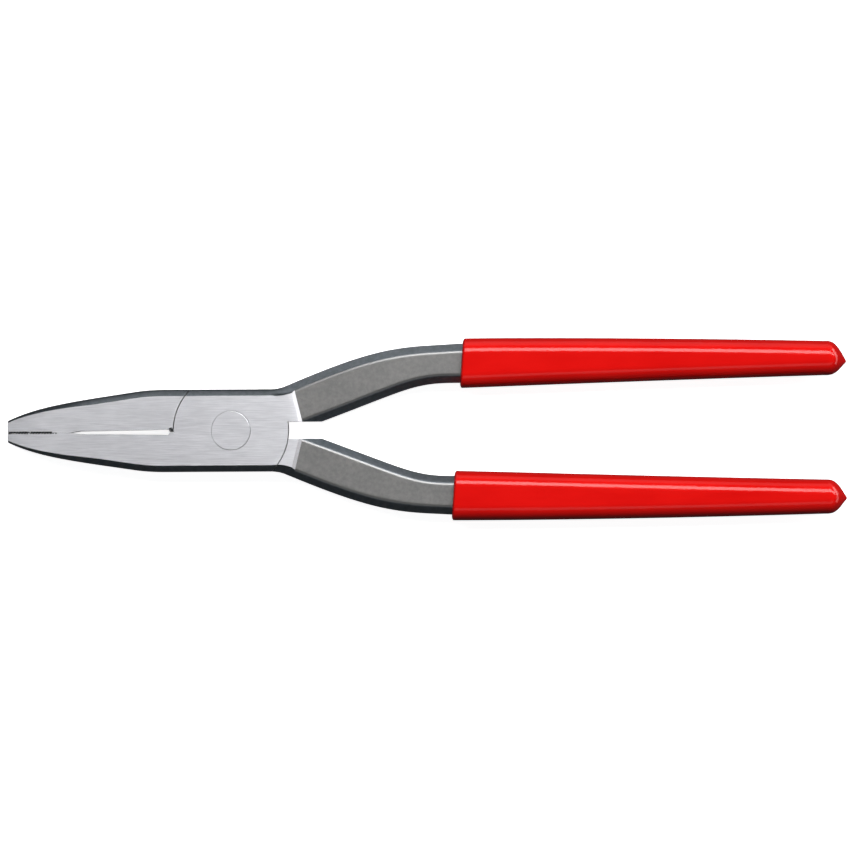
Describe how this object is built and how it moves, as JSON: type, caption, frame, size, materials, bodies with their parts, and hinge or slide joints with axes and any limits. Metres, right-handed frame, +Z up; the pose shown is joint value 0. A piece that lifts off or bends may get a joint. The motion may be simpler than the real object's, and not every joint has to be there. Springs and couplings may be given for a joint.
{
  "type": "flat-nose pliers",
  "caption": "Long flat-nose pliers with a riveted lap joint, ground steel jaws, bowed tangs and red dipped handles.",
  "frame": {"origin": "on the rivet's axis, in the plane that the closed tool lies on, at the rivet's back end", "axes": "+X along the tool from the joint to the handle ends, +Y across the tool in the plane of the jaws' opening, +Z up from the surface the tool lies on, along the rivet's axis"},
  "size_m": [0.2799, 0.0608, 0.012],
  "materials": {
    "forged_steel": "drop-forged steel with ground and brushed jaw and joint faces, matte blasted handles and dark rounded sides",
    "rivet_steel": "steel rivet ground flush with the joint faces and brushed with them",
    "dipped_vinyl": "glossy red dip-coated soft vinyl"
  },
  "bodies": {
    "back": {"back_half": "forged_steel", "rivet": "rivet_steel", "lower_grip": "dipped_vinyl"},
    "front": {"front_half": "forged_steel", "upper_grip": "dipped_vinyl"}
  },
  "joints": [
    {"name": "pivot", "type": "hinge", "parent": "back", "child": "front", "pos_m": [0, 0, 0.006], "axis": [0, 0, 1], "range_deg": [0, 88]}
  ]
}
